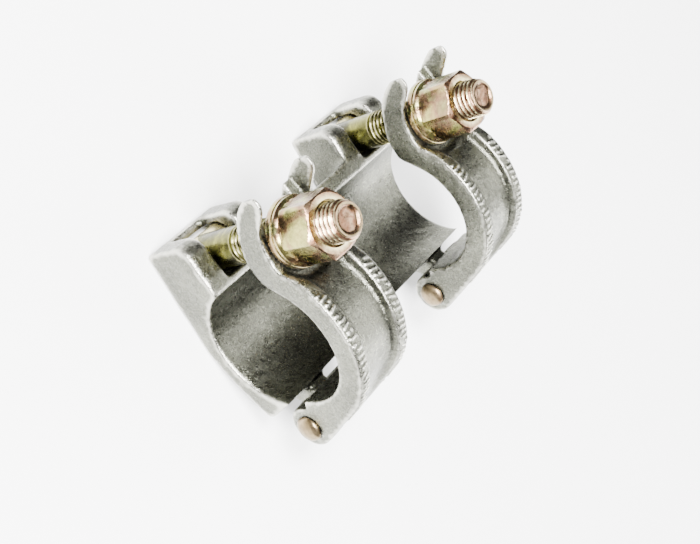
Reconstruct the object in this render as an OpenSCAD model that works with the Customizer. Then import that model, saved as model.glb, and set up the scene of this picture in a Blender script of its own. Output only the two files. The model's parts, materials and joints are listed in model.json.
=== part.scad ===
// Sleeve coupler: joins two scaffold tubes end to end. One forged half-shell carries
// two hinged flaps; each flap is drawn onto its tube by a swinging T-bolt and nut.
// The tube axis is Y, the bolts point up (+Z) and the coupler stands on its flat back.

/* [Tube] */
// Outside diameter of the scaffold tube
tube_d = 48.3; // [48.3, 48.6]
// Radial allowance of the seat over the tube
seat_gap = 0.15; // [0.1:0.05:0.3]

/* [Body] */
// Distance between the two bolts along the tube
pitch = 86; // [80:1:96]
// Width of one bolt lug along the tube
lug_w = 36; // [34:1:38]
// Wall thickness of the half-shell
shell_wall = 7; // [6:0.5:8]
// Distance from the tube axis to the flat back
back_z = 32.8; // [32.5:0.1:34]

/* [Hinge] */
// Distance from the tube axis to the rivet, across
pin_x = 36.6; // [36:0.1:38]
// Height of the rivet below the tube axis
pin_drop = 5.4; // [4.5:0.1:6]
// Diameter of the hinge rivet
rivet_d = 8; // [7:0.5:9]
// Width of the tongue between the two ears of a flap
tongue_w = 9.6; // [8:0.2:11]

/* [Flap] */
// Width of a flap along the tube
flap_w = 30; // [29:0.5:32]
// Width of each raised rim
rim_w = 6.5; // [5:0.5:7]
// Height of the rims above the channel between them
rim_h = 3.2; // [2:0.2:4]
// How far the flap stands open from a tube that it would clamp, in degrees
stand_open = 7.5; // [5:0.5:8]

/* [Bolt and nut] */
// Thread diameter
thread_d = 14; // [14]
// Distance from the tube axis to the bolt, across
bolt_x = 33.4; // [33:0.1:34]
// Depth of the T-head's centre below the tube axis
head_drop = 23.5; // [23:0.1:24]
// Length of the T-head's cross bar
head_len = 26; // [24:1:27]
// Height of the bolt's end above the tube axis
bolt_end = 52.4; // [50:0.2:54]
// Height of the washer's underside above the tube axis
washer_z = 25.7; // [25.5:0.1:26]
// Washer thickness
washer_t = 2.4; // [2:0.2:3]
// Washer diameter
washer_d = 25; // [24:0.5:25]
// Nut width across the flats
nut_af = 21; // [21]
// Height of the nut with its flange
nut_h = 16.4; // [14:0.2:16.4]

/* [Hidden] */
$fn = 96;

eps = 0.01;
bite = 0.03;                       // how far a straight edge cuts below a tangent
seat_r = tube_d / 2 + seat_gap;
shell_r = seat_r + shell_wall;
body_len = pitch + lug_w;
front = -pitch / 2;
rear = pitch / 2;
far = 90;                          // reaches past every outline

// clearances: a running fit, a gap between moving neighbours, a gap around the shank
fit_gap = 0.08;
rest_gap = 0.3;
shank_gap = 0.8;

// body outline, in the plane across the tube
split_z = -8.3;                    // top of the shell and of the lugs' inner side
lug_x = -44.4;                     // outer side of a lug
lug_round = 7;                     // radius of a lug's top outer corner
lug_slope = 1;                     // how far the lug's top falls towards that corner
flat_end = -1;                     // where the flat back gives way to the round shell
foot_x = -18.8;                    // the flat back's edge between the lugs
foot_turn = -78;                   // where the flat back's chamfer meets the round shell
heel_tip = [27.6, -19.2];          // centre of the rounded corner on the hinge side
heel_r = 2.4;
heel_turn = 26;                    // where the heel's corner ends
tongue_root = [27.2, -14.6];       // where the tongue grows out of the shell
tongue_root_r = 5;
knuckle_r = 7.8;
body_edge = -11;                   // angle of the seat's edge on the hinge side

// T-head cradle
cradle_r = thread_d / 2 + fit_gap;
stake = 0.8;                       // how much the staked edges close the throat
throat_w = thread_d - stake;       // staked narrower than the head, so that it stays in
cradle_len = head_len + shank_gap;
bar_h = 4.5;                       // height of the bar that bridges the lug's slot

// flap outline, drawn closed on the tube
channel_r = shell_r;
rim_r = channel_r + rim_h;
ear_r = 8.8;
flap_edge = -6.5;                  // angle of the flap's seat edge on the hinge side
prong_root = 172;                  // where the arch gives way to the prong
under_c = [-29, 36];               // prong underside: part of a circle
under_r = 33;
over_c = [-37, 42];                // prong top: part of a circle
over_r = 25.8;
tip_turn = 233;                    // angle at which the prong ends, about over_c
prong_start = -60;                 // angle at which it leaves the arch, about over_c
slot_w = thread_d + 2 * shank_gap;
horn_gap = 0.4;                    // between the washer's edge and the outer rims
well_run = 3;                      // lets the seat's arch side clear the washer as it closes
root_gap = 1.1;                    // around the tongue, inside the flap

head_span = head_drop + washer_z;  // from the T-head's centre to the washer
flange_d = 24.2;
flange_h = 3;
chamfer = 1.2;
dome_h = 2.8;
dome_d = 11;

pin = [pin_x, -pin_drop];
head_c = [-bolt_x, -head_drop];

// 2D outlines are drawn as x and height, then stood up and given a width along the tube
module along(y, w) {
    translate([0, y, 0])
        rotate([90, 0, 0])
            linear_extrude(w, center = true)
                children();
}

module bar_y(at, y, r, w) {
    translate([at[0], y, at[1]])
        rotate([90, 0, 0])
            cylinder(r = r, h = w, center = true);
}

function polar(r, a) = [r * cos(a), r * sin(a)];

// straight skirt that runs from a round tip onto a larger circle about the tube axis;
// its edge cuts both circles cleanly, a little below their common tangent
module skirt(tip, tip_r, r, side) {
    slant = atan2(tip[1], tip[0]) + side * acos((r - tip_r) / norm(tip));
    translate(tip) circle(tip_r);
    polygon([[0, 0], polar(r - bite, slant), tip + polar(tip_r - bite, slant), tip]);
}

// two discs and the straight strip between them
module link(a, ra, b, rb) {
    d = b - a;
    lean = acos((ra - rb) / norm(d));
    dir = atan2(d[1], d[0]);
    translate(a) circle(ra);
    translate(b) circle(rb);
    polygon([a + polar(ra - bite, dir + lean), b + polar(rb - bite, dir + lean),
             b + polar(rb - bite, dir - lean), a + polar(ra - bite, dir - lean)]);
}

// ---------- body ----------

module shell_outline() {
    difference() {
        union() {
            intersection() {
                circle(shell_r);
                translate([-far, split_z - far]) square([far + seat_r, far]);
            }
            // flat back under the shell
            polygon([[0, 0], [foot_x, -back_z], [flat_end, -back_z], polar(shell_r, foot_turn)]);
            // thick heel on the hinge side
            skirt(heel_tip, heel_r, shell_r, -1);
            polygon([[0, 0], heel_tip, heel_tip + polar(heel_r, heel_turn), polar(seat_r, body_edge)]);
        }
        polygon([[0, 0], polar(far, body_edge), polar(far, 40)]);
    }
}

module lug_outline() {
    corner = [lug_x + lug_round, split_z - lug_slope - lug_round];
    translate(corner) circle(lug_round);
    polygon([[-seat_r * 0.5, split_z], [corner[0], split_z - lug_slope], corner,
             [lug_x, corner[1]], [lug_x, -back_z], [flat_end, -back_z]]);
}

module lug_cuts(y) {
    cut_x = lug_x - 1;
    // slot for the shank, open to the top and to the outer side
    translate([cut_x, y - slot_w / 2, -back_z + bar_h])
        cube([-bolt_x - cut_x, slot_w, far]);
    translate([-bolt_x - eps, y - slot_w / 2, -head_drop])
        cube([slot_w / 2 - shank_gap / 2, slot_w, far]);
    // cradle for the cross bar, with its throat through the back
    bar_y(head_c, y, cradle_r, cradle_len);
    translate([-bolt_x - throat_w / 2, y - cradle_len / 2, -back_z - 1])
        cube([throat_w, cradle_len, back_z + 1 - head_drop]);
}

module coupler_body() {
    color("silver")
    difference() {
        union() {
            along(0, body_len) shell_outline();
            for (y = [front, rear]) {
                along(y, lug_w) lug_outline();
                along(y, tongue_w) link(tongue_root, tongue_root_r, pin, knuckle_r);
            }
        }
        for (y = [front, rear]) {
            lug_cuts(y);
            bar_y(pin, y, rivet_d / 2 + fit_gap, tongue_w + 2);
        }
        along(0, body_len + 2) circle(seat_r, $fn = 180);
    }
}

// ---------- flap, drawn closed, then swung open about the rivet ----------

module prong_outline() {
    // thickness of the prong along the ray from over_c that ends it
    lean = (over_c - under_c) * polar(1, tip_turn);
    reach = sqrt(pow(lean, 2) - pow(norm(over_c - under_c), 2) + pow(under_r, 2)) - lean;
    tip_r = (reach - over_r) / 2;
    translate(over_c + polar(over_r + tip_r, tip_turn)) circle(tip_r);
    difference() {
        intersection() {
            translate(under_c) circle(under_r, $fn = 180);
            polygon([over_c, over_c + polar(far, tip_turn), over_c + polar(far, prong_start)]);
        }
        translate(over_c) circle(over_r, $fn = 180);
        translate([-seat_r, -far / 2]) square([far, far]);
    }
}

module arch_outline(r) {
    difference() {
        union() {
            circle(r, $fn = 180);
            skirt(pin, ear_r, r, 1);
        }
        polygon([[0, 0], polar(far, flap_edge), [far, -far], [-far, -far], polar(far, prong_root)]);
    }
    translate(pin) circle(ear_r);
}

module flap_outline(r) {
    arch_outline(r);
    prong_outline();
}

module closed_flap(y) {
    difference() {
        union() {
            along(y, flap_w) flap_outline(channel_r);
            for (side = [-1, 1])
                along(y + side * (flap_w - rim_w) / 2, rim_w) flap_outline(rim_r);
        }
        along(y, flap_w + 2) circle(seat_r, $fn = 180);
        // room for the tongue between the ears
        bar_y(pin, y, ear_r + root_gap, tongue_w + 2 * rest_gap);
        bar_y(pin, y, rivet_d / 2, flap_w + 2);
        // slot for the shank, open at the tip
        translate([-bolt_x, y, 0]) cylinder(d = slot_w, h = far, center = true);
        translate([-bolt_x - far, y - slot_w / 2, -far / 2]) cube([far, slot_w, far]);
    }
}

module flap(y) {
    well_r = washer_d / 2 + horn_gap;
    seat_z = washer_z - rest_gap;
    color("silver")
    difference() {
        translate([pin[0], 0, pin[1]])
            rotate([0, stand_open, 0])
                translate([-pin[0], 0, -pin[1]])
                    closed_flap(y);
        // flat seat for the washer, with the outer side crowned about the T-head
        for (run = [0, well_run])
            translate([run - bolt_x, y, seat_z]) cylinder(r = well_r, h = far);
        translate([-bolt_x, y - well_r + bite, seat_z]) cube([well_run, 2 * (well_r - bite), far]);
        difference() {
            translate([-bolt_x - far, y - well_r, 0]) cube([far, 2 * well_r, far]);
            bar_y(head_c, y, head_span - rest_gap, 2 * well_r + 1);
        }
    }
}

// ---------- fasteners ----------

module hinge_rivet(y) {
    color("darkgoldenrod") {
        bar_y(pin, y, rivet_d / 2, flap_w);
        for (side = [-1, 1])
            translate([pin[0], y + side * flap_w / 2, pin[1]])
                rotate([-90 * side, 0, 0])
                    rivet_dome();
    }
}

module rivet_dome() {
    ball_r = (pow(dome_d / 2, 2) + pow(dome_h, 2)) / (2 * dome_h);
    intersection() {
        translate([0, 0, dome_h - ball_r]) sphere(ball_r);
        cylinder(d = dome_d + 1, h = dome_h + 1);
    }
}

module t_bolt(y) {
    color("goldenrod") {
        bar_y(head_c, y, thread_d / 2, head_len);
        translate([-bolt_x, y, -head_drop])
            cylinder(d = thread_d, h = head_drop + bolt_end - chamfer);
        translate([-bolt_x, y, bolt_end - chamfer])
            cylinder(d1 = thread_d, d2 = thread_d - 2 * chamfer, h = chamfer);
    }
}

module washer(y) {
    color("goldenrod")
    translate([-bolt_x, y, washer_z])
        difference() {
            cylinder(d = washer_d, h = washer_t);
            translate([0, 0, -1]) cylinder(d = thread_d + 2 * fit_gap, h = washer_t + 2);
        }
}

module nut(y) {
    corner_d = nut_af / cos(30);
    color("goldenrod")
    translate([-bolt_x, y, washer_z + washer_t])
        difference() {
            union() {
                cylinder(d = flange_d, h = flange_h);
                intersection() {
                    cylinder(d = corner_d, h = nut_h, $fn = 6);
                    union() {
                        cylinder(d = corner_d + 1, h = nut_h - chamfer);
                        translate([0, 0, nut_h - chamfer - eps])
                            cylinder(d1 = corner_d + 0.4, d2 = nut_af - 0.6, h = chamfer + eps);
                    }
                }
            }
            translate([0, 0, -1]) cylinder(d = thread_d + 2 * fit_gap, h = nut_h + 2);
        }
}

coupler_body();
flap(front);  // front_flap
hinge_rivet(front);  // front_hinge_rivet
t_bolt(front);  // front_t_bolt
washer(front);  // front_washer
nut(front);  // front_nut
flap(rear);  // rear_flap
hinge_rivet(rear);  // rear_hinge_rivet
t_bolt(rear);  // rear_t_bolt
washer(rear);  // rear_washer
nut(rear);  // rear_nut
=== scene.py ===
"""Sleeve coupler for scaffold tubes: forged finish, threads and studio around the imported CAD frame.

Metres, in the row frame: +Y along the tube, +Z along the bolts, +X towards the hinge rivets.
"""

import json
import math

import bpy
import numpy as np
from mathutils import Matrix, Vector, noise


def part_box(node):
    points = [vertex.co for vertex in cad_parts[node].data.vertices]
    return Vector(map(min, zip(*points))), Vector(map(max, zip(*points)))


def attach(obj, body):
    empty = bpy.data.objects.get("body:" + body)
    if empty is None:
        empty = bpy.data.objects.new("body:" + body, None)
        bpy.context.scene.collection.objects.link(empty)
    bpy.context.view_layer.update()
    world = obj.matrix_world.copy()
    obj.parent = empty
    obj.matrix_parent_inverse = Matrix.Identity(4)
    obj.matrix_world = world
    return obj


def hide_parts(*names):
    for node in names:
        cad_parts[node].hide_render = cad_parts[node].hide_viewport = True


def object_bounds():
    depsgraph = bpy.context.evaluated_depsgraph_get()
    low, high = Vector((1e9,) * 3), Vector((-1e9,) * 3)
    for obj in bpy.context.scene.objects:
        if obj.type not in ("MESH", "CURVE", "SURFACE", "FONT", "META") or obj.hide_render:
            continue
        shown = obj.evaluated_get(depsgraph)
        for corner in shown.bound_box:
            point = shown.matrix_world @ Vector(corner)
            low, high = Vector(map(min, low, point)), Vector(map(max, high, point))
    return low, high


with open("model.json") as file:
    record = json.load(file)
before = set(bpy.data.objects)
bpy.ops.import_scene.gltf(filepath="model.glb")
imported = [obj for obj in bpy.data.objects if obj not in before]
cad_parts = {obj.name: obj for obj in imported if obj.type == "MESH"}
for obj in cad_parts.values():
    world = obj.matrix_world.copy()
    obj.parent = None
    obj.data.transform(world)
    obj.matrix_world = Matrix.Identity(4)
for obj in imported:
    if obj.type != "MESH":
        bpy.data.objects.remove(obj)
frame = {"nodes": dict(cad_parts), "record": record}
cad_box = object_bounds()
JOINTS = {joint["name"]: joint for joint in frame["record"]["behaviour"]["joints"]}

MM = 0.001
SIDES = ("front", "rear")

# camera: the photograph's viewpoint, with the coupler lying on its flat back
CAMERA_AT = Vector((-120.7, -257.1, 291.6)) * MM
CAMERA_TARGET = Vector((3.0, -5.8, -3.7)) * MM
CAMERA_ROLL = math.radians(79.8)
LENS = 54.88
SENSOR = 36.0

# forgings
BODY_VOXEL = 0.7 * MM
FLAP_VOXEL = 0.5 * MM
LUMPS = 0.3 * MM
GRAIN = 0.16 * MM

# fasteners
MARGIN = 0.02 * MM  # keeps a turned piece inside its CAD node
THREAD_LEAD = 2.0 * MM
THREAD_DEPTH = 1.15 * MM
THREAD_RUNOUT = 3 * MM
END_CHAMFER = 1.4 * MM
NUT_BORE = 6.9 * MM
WASHER_BORE = 7.05 * MM
RIVET_SHANK = 4.0 * MM
RIVET_DOME = 2.8 * MM
NUT_FLATS = 21.0 * MM
FLANGE_H = 3.0 * MM

# flaps
STAND_OPEN = math.radians(7.5)
RIM_RADIUS = 32.6 * MM
RIM_MIDDLE = 11.8  # mm from the flap's middle to each rim's
MARK_PITCH = 3.9  # degrees
MARK_HEIGHT = 0.5 * MM
MARKS_FROM = 14  # degrees
MARKS_TO = 118
HORN_ROOT = 42 * MM
HORN_SWELL = 1.3 * MM
WASHER_PATH = 12.6 * MM  # half the width that the washer needs between the horns
# inner corners smoothed further: (x, z), reach, rounds
BENDS = (((-24.5 * MM, 11.0 * MM), 7 * MM, 160), ((-20.0 * MM, 30.0 * MM), 5 * MM, 60))


# ---------------------------------------------------------------- small helpers


def middle(node):
    """Centre of a CAD node's box."""
    low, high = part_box(node)
    return (Vector(low) + Vector(high)) / 2


def new_object(name, vertices, faces):
    mesh = bpy.data.meshes.new(name)
    mesh.from_pydata([tuple(v) for v in vertices], [], faces)
    mesh.update()
    obj = bpy.data.objects.new(name, mesh)
    bpy.context.scene.collection.objects.link(obj)
    return obj


def read_points(mesh):
    co = np.empty(len(mesh.vertices) * 3)
    mesh.vertices.foreach_get("co", co)
    return co.reshape(-1, 3)


def write_points(mesh, co):
    mesh.vertices.foreach_set("co", co.ravel())
    mesh.update()


def read_normals(mesh):
    no = np.empty(len(mesh.vertices) * 3)
    mesh.vertex_normals.foreach_get("vector", no)
    return no.reshape(-1, 3)


def apply_modifiers(obj):
    graph = bpy.context.evaluated_depsgraph_get()
    mesh = bpy.data.meshes.new_from_object(obj.evaluated_get(graph))
    old = obj.data
    obj.modifiers.clear()
    obj.data = mesh
    bpy.data.meshes.remove(old)


def smoothed(mesh, values, rounds):
    """Averages per-vertex values with their neighbours a few times."""
    edges = np.empty(len(mesh.edges) * 2, dtype=np.int64)
    mesh.edges.foreach_get("vertices", edges)
    a, b = edges.reshape(-1, 2).T
    count = len(mesh.vertices)
    degree = np.bincount(a, minlength=count) + np.bincount(b, minlength=count)
    values = values.reshape(count, -1)
    for _ in range(rounds):
        total = np.zeros_like(values)
        for k in range(values.shape[1]):
            total[:, k] = np.bincount(a, values[b, k], count) + np.bincount(b, values[a, k], count)
        values = 0.5 * values + 0.5 * total / degree[:, None]
    return values


def store(mesh, name, values):
    layer = mesh.attributes.new(name, "FLOAT", "POINT")
    layer.data.foreach_set("value", np.asarray(values, dtype=np.float32).ravel())


def mark_wear_highlight_shade(mesh):
    """Stores how convex (towards 1) or hollow (towards 0) the surface is at each vertex: the
    materials brighten convex edges with wear and a painted highlight, and darken hollows with painted
    shade.
    """
    co = read_points(mesh)
    hollow = smoothed(mesh, ((smoothed(mesh, co, 6) - co) * read_normals(mesh)).sum(axis=1), 2)
    reach = np.percentile(np.abs(hollow), 96)
    store(mesh, "wear_highlight_shade", np.clip(0.5 - 0.5 * hollow / reach, 0, 1))


def soften(mesh, rounds, weight):
    """Smooths a mesh further where weight is 1, and leaves it alone where it is 0."""
    co = read_points(mesh)
    write_points(mesh, co + (smoothed(mesh, co, rounds) - co) * weight[:, None])


def ripple(co, scale, seed):
    """Smooth noise in -1..1 at each point, with lumps about scale across."""
    shift = Vector((seed * 7.1, seed * 3.3, seed * 5.7))
    return np.array([noise.noise(Vector(p) / scale + shift) for p in co])


# ---------------------------------------------------------------- forgings


def forging(node, name, voxel, rounds):
    """A CAD forging with its edges and inner corners rounded as a die leaves them."""
    obj = bpy.data.objects.new(name, frame["nodes"][node].data.copy())
    bpy.context.scene.collection.objects.link(obj)
    remesh = obj.modifiers.new("remesh", "REMESH")
    remesh.mode = "VOXEL"
    remesh.voxel_size = voxel
    remesh.use_smooth_shade = True
    apply_modifiers(obj)
    mesh = obj.data
    write_points(mesh, smoothed(mesh, read_points(mesh), rounds))
    return obj


def weather(obj):
    """Uneven forged skin: broad lumps and finer scale marks, pressed inward only."""
    mesh = obj.data
    co = read_points(mesh)
    lumps = LUMPS * (ripple(co, 9 * MM, 1) - 1) / 2
    grain = GRAIN * (ripple(co, 2.2 * MM, 2) - 1) / 2
    write_points(mesh, co + read_normals(mesh) * (lumps + grain)[:, None])


def body_piece():
    obj = forging("coupler_body", "body_forging", BODY_VOXEL, 20)
    weather(obj)
    mark_wear_highlight_shade(obj.data)
    return obj


def rim_marks(obj, side):
    """Rows of small raised bars and dots on the two rims: a generic forging mark."""
    mesh = obj.data
    co = read_points(mesh)
    low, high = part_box(f"{side}_flap")
    pivot = Vector(JOINTS[f"{side}_flap_hinge"]["pos_m"])
    # angle and radius about the flap's own bore, which stands open with the flap
    bore = pivot + Matrix.Rotation(STAND_OPEN, 3, "Y") @ (Vector((0, pivot.y, 0)) - pivot)
    x, z = co[:, 0] - bore.x, co[:, 2] - bore.z
    turn = np.degrees(np.arctan2(z, x))
    offset = co[:, 1] - (low[1] + high[1]) / 2
    row = np.abs(offset) / MM - RIM_MIDDLE
    cell = (turn + row * 0.4) / MARK_PITCH
    index = np.floor(cell).astype(int) + np.where(offset > 0, 2, 0)
    lean = np.where(index % 3 == 0, 0.10, -0.06) * row
    bars = (np.abs(cell % 1 - 0.5 + lean) < 0.16) & (np.abs(row) < 1.6)
    short = (np.abs(cell % 1 - 0.5) < 0.2) & (np.abs(row - 0.9) < 0.9)
    dots = np.hypot((cell % 1 - 0.5) * 2.4, np.abs(row) - 0.9) < 0.6
    shape = np.choose(index % 5, [bars, short, bars, dots, bars])
    on_rim = (np.hypot(x, z) > RIM_RADIUS) & (turn > MARKS_FROM) & (turn < MARKS_TO)
    return MARK_HEIGHT * (shape & on_rim)


def fill_horns(mesh, side):
    """Fuller, rounder horns outside the washer's path, kept inside the flap's own length."""
    low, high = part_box(f"{side}_flap")
    co = read_points(mesh)
    swell = read_normals(mesh) * HORN_SWELL
    swell[:, 1] = 0
    outer = np.abs(co[:, 1] - (low[1] + high[1]) / 2) > WASHER_PATH
    grow = np.clip((-co[:, 0] - (HORN_ROOT - 1 * MM)) / (5 * MM), 0, 1) * outer
    co += swell * smoothed(mesh, grow, 3)
    co[:, 0] = np.maximum(co[:, 0], low[0])
    write_points(mesh, co)


def flap_piece(side):
    obj = forging(f"{side}_flap", f"{side}_flap_forging", FLAP_VOXEL, 4)
    mesh = obj.data
    co = read_points(mesh)
    # the thin horns keep their fullness, and the underside runs into the prong in one sweep
    soften(mesh, 26, np.clip((co[:, 0] + HORN_ROOT) / (4 * MM), 0.1, 1))
    for (x, z), reach, rounds in BENDS:
        bend = np.hypot(co[:, 0] - x, co[:, 2] - z)
        soften(mesh, rounds, np.exp(-((bend / reach) ** 2)))
    fill_horns(mesh, side)
    weather(obj)
    rise = smoothed(mesh, rim_marks(obj, side), 1)
    write_points(mesh, read_points(mesh) + read_normals(mesh) * rise)
    mark_wear_highlight_shade(mesh)
    return obj


# ---------------------------------------------------------------- fasteners


def shade(obj, angle):
    """Smooth shading with edges sharper than the angle kept crisp."""
    mesh = obj.data
    mesh.shade_smooth()
    mesh.set_sharp_from_angle(angle=math.radians(angle))


def join(objects, name):
    first = objects[0]
    with bpy.context.temp_override(active_object=first, selected_editable_objects=objects):
        bpy.ops.object.join()
    first.name = name
    return first


def turned_profile(name, profile, segments, centre, axis="Z", shape=None):
    """A turned piece from (radius, height) points. shape(angles, radius, height) bends a ring."""
    rings = []
    angles = np.linspace(0, 2 * math.pi, segments, endpoint=False)
    for r, h in profile:
        ring = shape(angles, r, h) if shape else np.full(segments, r)
        level = np.full(segments, h)
        rings.append(np.column_stack([ring * np.cos(angles), ring * np.sin(angles), level]))
    points = np.vstack(rings)
    faces = []
    for low in range(0, (len(profile) - 1) * segments, segments):
        high = low + segments
        for j in range(segments):
            k = (j + 1) % segments
            faces.append((low + j, low + k, high + k, high + j))
    if axis == "Y":
        points = points[:, [1, 2, 0]]
    return new_object(name, points + np.array(centre), faces)


def hexagon(angles, flats, corner):
    """Radius of a hexagon with its corners slightly rounded."""
    turn = (angles + math.pi / 6) % (math.pi / 3) - math.pi / 6
    return np.minimum(flats / 2 / np.cos(turn), corner)


def thread_radius(angles, height, major, start, end):
    """Helical thread of about 60 degrees, running out below and chamfered at the end."""
    phase = (height / THREAD_LEAD - angles / (2 * math.pi)) % 1
    tooth = np.clip((0.5 - np.abs(phase - 0.5)) * 2.8 - 0.25, 0, 1)
    fade = np.clip((height - start) / THREAD_RUNOUT, 0, 1)
    r = major - THREAD_DEPTH * (1 - tooth) * fade
    return np.minimum(r, major - np.clip(height - (end - END_CHAMFER), 0, None) * 0.9)


def bolt_end(name, edge, centre):
    """Rough sheared end face: a raised rim around a shallow, uneven recess."""
    profile = [(edge, 0), (0.86 * edge, 0), (0.8 * edge, -0.25 * MM), (0.74 * edge, -0.6 * MM)]
    profile += [(r * edge, -0.75 * MM) for r in (0.66, 0.56, 0.46, 0.36, 0.26, 0.16, 0.06, 0.005)]
    obj = turned_profile(name, profile, 72, centre)
    co = read_points(obj.data)
    radius = np.hypot(co[:, 0] - centre[0], co[:, 1] - centre[1])
    inner = np.clip((0.84 * edge - radius) / (0.2 * edge), 0, 1)
    co[:, 2] += 0.4 * MM * inner * ripple(co, 2.4 * MM, centre[1] / MM)
    write_points(obj.data, co)
    return obj


def bolt_piece(side):
    low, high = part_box(f"{side}_t_bolt")
    centre = middle(f"{side}_t_bolt")
    radius = (high[0] - low[0]) / 2 - MARGIN
    pivot = Vector((centre.x, centre.y, low[2] + (high[0] - low[0]) / 2))
    top = high[2] - MARGIN / 2
    start = -2 * MM
    heights = list(np.arange(start, top, 0.2 * MM)) + [top]
    thread = [(radius, h) for h in heights]
    shank = turned_profile(
        f"{side}_thread",
        thread,
        72,
        (centre.x, centre.y, 0),
        shape=lambda a, r, h: thread_radius(a, h, r, start, top),
    )
    edge = float(thread_radius(np.zeros(1), top, radius, start, top)[0])
    end = bolt_end(f"{side}_bolt_end", edge, (centre.x, centre.y, top))
    plain = [(radius, h) for h in np.linspace(start, pivot.z, 14)]
    stem = turned_profile(f"{side}_stem", plain, 72, (centre.x, centre.y, 0))
    half = (high[1] - low[1]) / 2
    bar = [(0.05 * MM, -half), (radius - 1.2 * MM, -half)]
    bar += [(radius - 0.3 * MM, -half + 0.4 * MM), (radius, -half + 1.3 * MM)]
    bar += [(r, -h) for r, h in reversed(bar)]
    head = turned_profile(f"{side}_head", bar, 72, pivot, axis="Y")
    obj = join([shank, end, stem, head], f"{side}_t_bolt_threaded")
    shade(obj, 40)
    mark_wear_highlight_shade(obj.data)
    return obj


def nut_piece(side):
    low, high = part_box(f"{side}_nut")
    centre = middle(f"{side}_nut")
    height = high[2] - low[2]
    flange = (high[0] - low[0]) / 2 - MARGIN
    corner = NUT_FLATS / 2 / math.cos(math.pi / 6) - 0.35 * MM

    def outline(angles, r, h):
        if r < 9.2 * MM:
            return np.full(len(angles), r)
        if h <= FLANGE_H:
            blend = max(0.0, (h - 1.6 * MM) / (FLANGE_H - 1.6 * MM))
            sides = np.maximum(hexagon(angles, NUT_FLATS, corner), r)
            return (1 - blend) * r + blend * sides
        cone = NUT_FLATS / 2 - 0.5 * MM + (height - h) * 1.75
        return np.minimum(hexagon(angles, NUT_FLATS, corner), cone)

    side_r = 10 * MM  # any radius over 9.2 mm takes the hexagon's shape in outline
    start = (NUT_BORE, 0.6 * MM)
    profile = [start, (flange - 1 * MM, 0), (flange - 0.2 * MM, 0.15 * MM), (flange, 0.5 * MM)]
    profile += [(flange, 1.3 * MM), (flange - 0.3 * MM, 1.7 * MM), (flange - 1.2 * MM, 2.3 * MM)]
    profile += [(side_r, FLANGE_H)]
    profile += [(side_r, h) for h in np.linspace(FLANGE_H + 0.2 * MM, height - 2 * MM, 8)]
    profile += [(side_r, h) for h in np.linspace(height - 1.8 * MM, height - 0.02 * MM, 10)]
    profile += [(9.15 * MM, height), (7.9 * MM, height), (7.2 * MM, height - 0.8 * MM)]
    profile += [(NUT_BORE, height - 2.4 * MM), start]
    foot = (centre.x, centre.y, low[2])
    obj = turned_profile(f"{side}_nut_hex", profile, 180, foot, shape=outline)
    shade(obj, 28)
    mark_wear_highlight_shade(obj.data)
    return obj


def washer_piece(side):
    low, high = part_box(f"{side}_washer")
    centre = middle(f"{side}_washer")
    outer = (high[0] - low[0]) / 2
    thick = high[2] - low[2]
    edge = 0.35 * MM
    nip = 0.1 * MM
    profile = [(WASHER_BORE, 0), (outer - edge, 0), (outer - nip, nip), (outer, edge)]
    profile += [(outer, thick - edge), (outer - nip, thick - nip), (outer - edge, thick)]
    profile += [(WASHER_BORE, thick), (WASHER_BORE, 0)]
    obj = turned_profile(f"{side}_washer_ring", profile, 96, (centre.x, centre.y, low[2]))
    shade(obj, 40)
    mark_wear_highlight_shade(obj.data)
    return obj


def rivet_piece(side, seed):
    low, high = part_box(f"{side}_hinge_rivet")
    centre = middle(f"{side}_hinge_rivet")
    half = (high[1] - low[1]) / 2
    head_r = (high[0] - low[0]) / 2
    inner = half - RIVET_DOME
    turns = np.linspace(0.02, math.pi / 2 - 0.02, 12)
    ends = [(head_r * math.cos(a), inner + RIVET_DOME * math.sin(a)) for a in turns]
    profile = [(r, -h) for r, h in reversed(ends)]
    profile += [(RIVET_SHANK, -inner), (RIVET_SHANK, inner)] + ends

    def hammered(angles, r, h):
        level = h / (2 * MM) + seed
        spots = [Vector((math.cos(a) * 1.3, math.sin(a) * 1.3, level)) for a in angles]
        wobble = np.array([noise.noise(spot) for spot in spots])
        return r * (1 - 0.07 * (0.5 + wobble) * (r > RIVET_SHANK))

    obj = turned_profile(f"{side}_rivet_domed", profile, 64, centre, axis="Y", shape=hammered)
    shade(obj, 50)
    mark_wear_highlight_shade(obj.data)
    return obj


# ---------------------------------------------------------------- materials


# colour ramp stops: place and linear colour
GOLD_STOPS = [
    (0.30, (0.10, 0.10, 0.03)),
    (0.40, (0.34, 0.31, 0.11)),
    (0.48, (0.27, 0.18, 0.09)),
    (0.56, (0.20, 0.115, 0.075)),
    (0.68, (0.24, 0.24, 0.10)),
]
COPPER_STOPS = [(0.35, (0.12, 0.055, 0.03)), (0.5, (0.20, 0.11, 0.07)), (0.65, (0.30, 0.20, 0.13))]
OLIVE_STOPS = [
    (0.32, (0.022, 0.020, 0.008)),
    (0.46, (0.07, 0.068, 0.018)),
    (0.58, (0.17, 0.165, 0.04)),
    (0.72, (0.04, 0.035, 0.012)),
]
BRONZE_STOPS = [
    (0.32, (0.14, 0.10, 0.055)),
    (0.50, (0.28, 0.21, 0.13)),
    (0.68, (0.20, 0.13, 0.08)),
]


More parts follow.
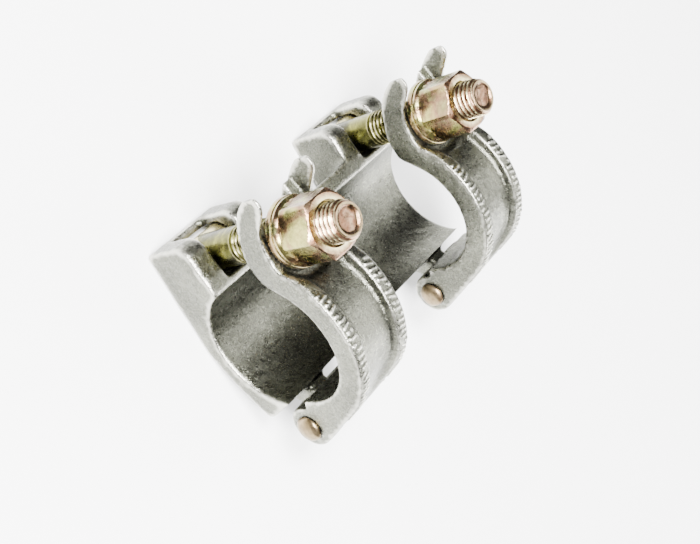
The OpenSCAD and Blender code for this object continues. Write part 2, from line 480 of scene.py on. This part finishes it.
class Nodes:
    """Short names for building one material's node tree."""

    def __init__(self, name):
        self.material = bpy.data.materials.new(name)
        self.material.use_nodes = True
        self.tree = self.material.node_tree
        self.shader = self.tree.nodes["Principled BSDF"]
        self.place = self.tree.nodes.new("ShaderNodeTexCoord").outputs["Object"]

    def part(self, space, axis):
        """One coordinate of the object's own position or normal."""
        split = self.tree.nodes.new("ShaderNodeSeparateXYZ")
        self.link(self.tree.nodes.new("ShaderNodeTexCoord").outputs[space], split.inputs["Vector"])
        return split.outputs[axis]

    def link(self, source, target):
        self.tree.links.new(source, target)

    def noise(self, scale, detail=3.0, roughness=0.55, distortion=0.0):
        node = self.tree.nodes.new("ShaderNodeTexNoise")
        node.inputs["Scale"].default_value = scale
        node.inputs["Detail"].default_value = detail
        node.inputs["Roughness"].default_value = roughness
        node.inputs["Distortion"].default_value = distortion
        self.link(self.place, node.inputs["Vector"])
        return node.outputs["Fac"]

    def ramp(self, source, stops):
        node = self.tree.nodes.new("ShaderNodeValToRGB")
        ramp = node.color_ramp
        while len(ramp.elements) < len(stops):
            ramp.elements.new(0.5)
        for element, (at, colour) in zip(ramp.elements, stops):
            element.position = at
            element.color = (*colour, 1.0)
        self.link(source, node.inputs["Fac"])
        return node.outputs["Color"]

    def map(self, source, low, high, out_low, out_high):
        node = self.tree.nodes.new("ShaderNodeMapRange")
        limits = {"From Min": low, "From Max": high, "To Min": out_low, "To Max": out_high}
        for name, value in limits.items():
            node.inputs[name].default_value = value
        self.link(source, node.inputs["Value"])
        return node.outputs["Result"]

    def mix(self, factor, a, b, blend="MIX"):
        node = self.tree.nodes.new("ShaderNodeMix")
        node.data_type = "RGBA"
        node.blend_type = blend
        for name, value in (("Factor", factor), ("A", a), ("B", b)):
            socket = [s for s in node.inputs if s.name == name and s.enabled][0]
            if hasattr(value, "is_output"):
                self.link(value, socket)
            else:
                socket.default_value = (*value, 1.0) if isinstance(value, tuple) else value
        return [s for s in node.outputs if s.enabled][0]

    def times(self, a, b):
        node = self.tree.nodes.new("ShaderNodeMath")
        node.operation = "MULTIPLY"
        self.link(a, node.inputs[0])
        self.link(b, node.inputs[1])
        return node.outputs[0]

    def attribute(self, name):
        node = self.tree.nodes.new("ShaderNodeAttribute")
        node.attribute_name = name
        return node.outputs["Fac"]

    def bump(self, height, strength, distance, normal=None):
        node = self.tree.nodes.new("ShaderNodeBump")
        node.inputs["Strength"].default_value = strength
        node.inputs["Distance"].default_value = distance
        self.link(height, node.inputs["Height"])
        if normal:
            self.link(normal, node.inputs["Normal"])
        return node.outputs["Normal"]


def grey(v, tint=(0.99, 1.0, 0.86)):
    return tuple(v * t for t in tint)


def zinc_material():
    """Bright zinc over a forged skin: satin, grainy, with painted glints, brighter on edges (wear and
    painted highlight), darker in hollows (painted shade).
    """
    n = Nodes("bright_zinc_forged")
    tones = [(0.3, grey(0.08)), (0.5, grey(0.125)), (0.7, grey(0.19))]
    broad = n.ramp(n.noise(45, 4), tones)
    speckle = n.ramp(n.noise(1500, 2, 0.75), [(0.40, grey(0.42)), (0.58, grey(1.0))])
    colour = n.mix(0.7, broad, speckle, "MULTIPLY")
    wear_highlight_shade = n.attribute("wear_highlight_shade")
    # convex edges turn pale cream: partly rubbed wear, partly a painted highlight
    colour = n.mix(n.map(wear_highlight_shade, 0.66, 1.0, 0.0, 0.75), colour, grey(0.62, (1.0, 0.98, 0.86)))
    # hollows turn dark: painted shade
    colour = n.mix(n.map(wear_highlight_shade, 0.40, 0.05, 0.0, 0.4), colour, grey(0.06, (1.0, 1.0, 0.80)))
    # painted glints: scattered bright dots in the colour
    painted_glints = n.map(n.noise(2300, 1, 0.4), 0.58, 0.72, 0.0, 0.3)
    colour = n.mix(painted_glints, colour, grey(0.45))
    n.link(colour, n.shader.inputs["Base Color"])
    n.link(n.map(n.noise(420, 4, 0.7), 0.3, 0.7, 0.20, 0.40), n.shader.inputs["Roughness"])
    n.shader.inputs["Metallic"].default_value = 1.0
    pits = n.bump(n.noise(1600, 3, 0.65), 0.8, 0.2 * MM)
    scale_marks = n.bump(n.noise(380, 4, 0.6), 0.6, 0.5 * MM, pits)
    n.link(scale_marks, n.shader.inputs["Normal"])
    return n.material


def passivate_material(name, stops, rough, reddened=None):
    """Zinc passivate with tints that drift over the surface. reddened(n) masks browner parts."""
    n = Nodes(name)
    tint = n.ramp(n.noise(90, 2, 0.5, 0.8), stops)
    if reddened:
        tint = n.mix(reddened(n), tint, n.ramp(n.noise(260, 3, 0.6, 0.4), COPPER_STOPS))
    wear_highlight_shade = n.attribute("wear_highlight_shade")
    # convex edges turn pale gold: partly rubbed wear, partly a painted highlight
    tint = n.mix(n.map(wear_highlight_shade, 0.62, 0.98, 0.0, 0.8), tint, (0.74, 0.66, 0.40))
    # hollows turn dark: painted shade
    tint = n.mix(n.map(wear_highlight_shade, 0.42, 0.10, 0.0, 0.85), tint, (0.030, 0.027, 0.015))
    dirt = n.ramp(n.noise(700, 3, 0.6), [(0.38, grey(0.6)), (0.6, grey(1.0))])
    n.link(n.mix(0.6, tint, dirt, "MULTIPLY"), n.shader.inputs["Base Color"])
    roughness = n.map(n.noise(500, 3), 0.3, 0.7, rough - 0.06, rough + 0.12)
    n.link(roughness, n.shader.inputs["Roughness"])
    n.shader.inputs["Metallic"].default_value = 1.0
    n.link(n.bump(n.noise(1300, 3, 0.6), 0.5, 0.08 * MM), n.shader.inputs["Normal"])
    return n.material


def nut_top(n):
    """Masks the nut's top face and its chamfer."""
    height = n.map(n.part("Object", "Z"), 39 * MM, 42 * MM, 0.0, 1.0)
    return n.times(height, n.map(n.part("Normal", "Z"), 0.2, 0.5, 0.0, 1.0))


def above_the_nut(n):
    """Masks the end of the bolt that stands out of the nut."""
    return n.map(n.part("Object", "Z"), 38 * MM, 42 * MM, 0.0, 1.0)


def cover(obj, material):
    obj.data.materials.clear()
    obj.data.materials.append(material)


# ---------------------------------------------------------------- studio


def floor():
    low = cad_box[0][2]
    reach = 3.0
    around = ((-1, -1), (1, -1), (1, 1), (-1, 1))
    corners = [(reach * x, reach * y, low) for x, y in around]
    obj = new_object("floor", corners, [(0, 1, 2, 3)])
    n = Nodes("pale_floor")
    white = (1.0, 1.0, 1.0)
    paint = n.ramp(n.noise(6), [(0.3, grey(0.93, white)), (0.7, grey(0.95, white))])
    n.link(paint, n.shader.inputs["Base Color"])
    n.shader.inputs["Roughness"].default_value = 0.9
    cover(obj, n.material)


def area_light(name, at, size, power):
    """A rectangular light that faces the tube's middle."""
    data = bpy.data.lights.new(name, "AREA")
    data.shape = "RECTANGLE"
    data.size, data.size_y = size
    data.energy = power
    obj = bpy.data.objects.new(name, data)
    obj.location = at
    obj.rotation_euler = (-Vector(at)).to_track_quat("-Z", "Y").to_euler()
    bpy.context.scene.collection.objects.link(obj)


def studio():
    floor()
    area_light("key", (0.0, -0.7, 1.2), (0.45, 0.45), 100)
    area_light("left", (-0.6, -0.35, 1.25), (0.45, 0.45), 75)
    area_light("side", (1.1, 0.65, 0.22), (1.0, 0.4), 34)
    area_light("back", (0.4, 0.75, 0.9), (0.8, 0.8), 16)
    world = bpy.data.worlds.new("studio")
    world.use_nodes = True
    background = world.node_tree.nodes["Background"]
    background.inputs["Color"].default_value = (1, 1, 1, 1)
    background.inputs["Strength"].default_value = 0.27
    bpy.context.scene.world = world


def camera():
    data = bpy.data.cameras.new("camera")
    data.sensor_width = SENSOR
    data.lens = LENS
    data.clip_start = 0.01
    obj = bpy.data.objects.new("camera", data)
    aim = (CAMERA_TARGET - CAMERA_AT).to_track_quat("-Z", "Y").to_matrix().to_4x4()
    obj.matrix_world = Matrix.Translation(CAMERA_AT) @ aim @ Matrix.Rotation(CAMERA_ROLL, 4, "Z")
    bpy.context.scene.collection.objects.link(obj)
    bpy.context.scene.camera = obj


# ---------------------------------------------------------------- build


def place(piece, node, body, material):
    cover(piece, material)
    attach(piece, body)
    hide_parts(node)


def build():
    camera()
    zinc = zinc_material()
    gold = passivate_material("yellow_passivate", GOLD_STOPS, 0.22, nut_top)
    olive = passivate_material("olive_passivate", OLIVE_STOPS, 0.26, above_the_nut)
    bronze = passivate_material("bronze_passivate", BRONZE_STOPS, 0.32)
    place(body_piece(), "coupler_body", "body", zinc)
    for seed, side in enumerate(SIDES):
        place(flap_piece(side), f"{side}_flap", f"{side}_flap", zinc)
        place(rivet_piece(side, seed * 5), f"{side}_hinge_rivet", f"{side}_flap", bronze)
        place(bolt_piece(side), f"{side}_t_bolt", f"{side}_t_bolt", olive)
        place(washer_piece(side), f"{side}_washer", f"{side}_washer", gold)
        place(nut_piece(side), f"{side}_nut", f"{side}_nut", gold)
    studio()


build()
